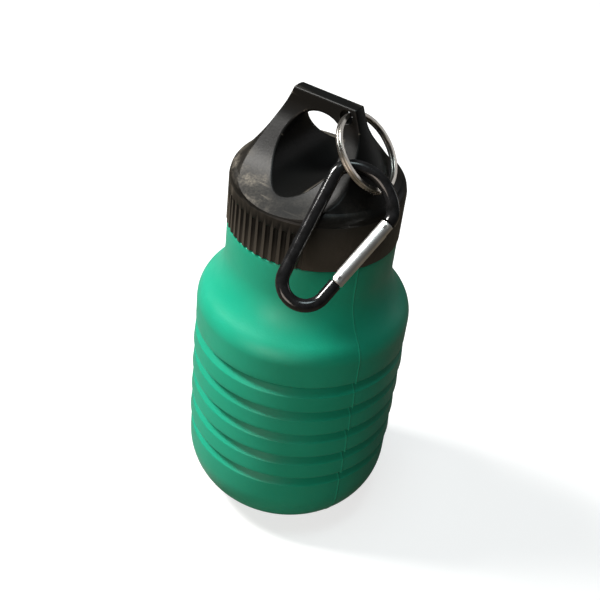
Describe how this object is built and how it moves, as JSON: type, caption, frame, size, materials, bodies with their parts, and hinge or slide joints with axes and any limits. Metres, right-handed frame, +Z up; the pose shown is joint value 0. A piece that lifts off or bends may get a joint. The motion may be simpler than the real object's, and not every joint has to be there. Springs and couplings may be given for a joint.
{
  "type": "folding water bottle",
  "caption": "Folding soft-bodied water bottle, pleated round body with rounded base and shoulder, screw cap with a carrying handle, split ring and carabiner clip.",
  "frame": {"origin": "centre of the base's flat underside, with the bottle folded down", "axes": "+Z up through the mouth, +X along the cap's carrying bar towards the side that holds the split ring, -Y the side over which the carabiner hangs"},
  "size_m": [0.07, 0.0758, 0.1521],
  "materials": {
    "silicone": "matte silicone",
    "collar_plastic": "natural polypropylene",
    "cap_plastic": "satin polypropylene",
    "seal_rubber": "matte",
    "nickel": "nickel plated",
    "black_anodised": "gloss black anodised",
    "gate_metal": "satin",
    "steel": "plain"
  },
  "bodies": {
    "base": {"base_cup": "silicone", "fold_web_1": "silicone"},
    "ring_1": {"pleat_ring_1": "silicone", "fold_web_2": "silicone"},
    "ring_2": {"pleat_ring_2": "silicone", "fold_web_3": "silicone"},
    "ring_3": {"pleat_ring_3": "silicone", "fold_web_4": "silicone"},
    "ring_4": {"pleat_ring_4": "silicone", "fold_web_5": "silicone"},
    "shoulder": {"shoulder_and_neck": "silicone", "neck_collar": "collar_plastic"},
    "seal": {"cap_seal": "seal_rubber"},
    "cap": {"screw_cap": "cap_plastic"},
    "ring": {"split_ring": "nickel"},
    "carabiner": {"carabiner_body": "black_anodised"},
    "gate": {"carabiner_gate": "gate_metal", "gate_hinge_pin": "steel", "gate_latch_pin": "steel", "gate_spring": "steel", "gate_plunger": "steel"}
  },
  "joints": [
    {"name": "fold_1", "type": "slide", "parent": "base", "child": "ring_1", "axis": [0, 0, 1], "range_m": [0, 0.014], "deforming": ["fold_web_1"]},
    {"name": "fold_2", "type": "slide", "parent": "ring_1", "child": "ring_2", "axis": [0, 0, 1], "range_m": [0, 0.014], "deforming": ["fold_web_2"]},
    {"name": "fold_3", "type": "slide", "parent": "ring_2", "child": "ring_3", "axis": [0, 0, 1], "range_m": [0, 0.014], "deforming": ["fold_web_3"]},
    {"name": "fold_4", "type": "slide", "parent": "ring_3", "child": "ring_4", "axis": [0, 0, 1], "range_m": [0, 0.014], "deforming": ["fold_web_4"]},
    {"name": "fold_5", "type": "slide", "parent": "ring_4", "child": "shoulder", "axis": [0, 0, 1], "range_m": [0, 0.014], "deforming": ["fold_web_5"]},
    {"name": "cap_lift", "type": "slide", "parent": "shoulder", "child": "seal", "axis": [0, 0, 1], "range_m": [0, 0.0201]},
    {"name": "cap_turn", "type": "hinge", "parent": "seal", "child": "cap", "pos_m": [0, 0, 0.115], "axis": [0, 0, 1], "range_deg": [0, 1800]},
    {"name": "ring_swing", "type": "hinge", "parent": "cap", "child": "ring", "pos_m": [0.0084, 0, 0.149], "axis": [0, -1, 0], "range_deg": [0, 120]},
    {"name": "carabiner_swing", "type": "hinge", "parent": "ring", "child": "carabiner", "pos_m": [0.01881, -0.01114, 0.13973], "axis": [-0.7749, -0.6309, 0.038], "range_deg": [0, 60]},
    {"name": "gate_open", "type": "hinge", "parent": "carabiner", "child": "gate", "pos_m": [0.02713, -0.02767, 0.11613], "axis": [0.434, -0.627, 0.647], "range_deg": [0, 22], "stiffness_Nm_per_rad": 0.005, "springref_deg": -34.38}
  ],
  "couplings": [
    {"joint": "cap_lift", "follows": "cap_turn", "m_per_rad": 0.00063662}
  ]
}
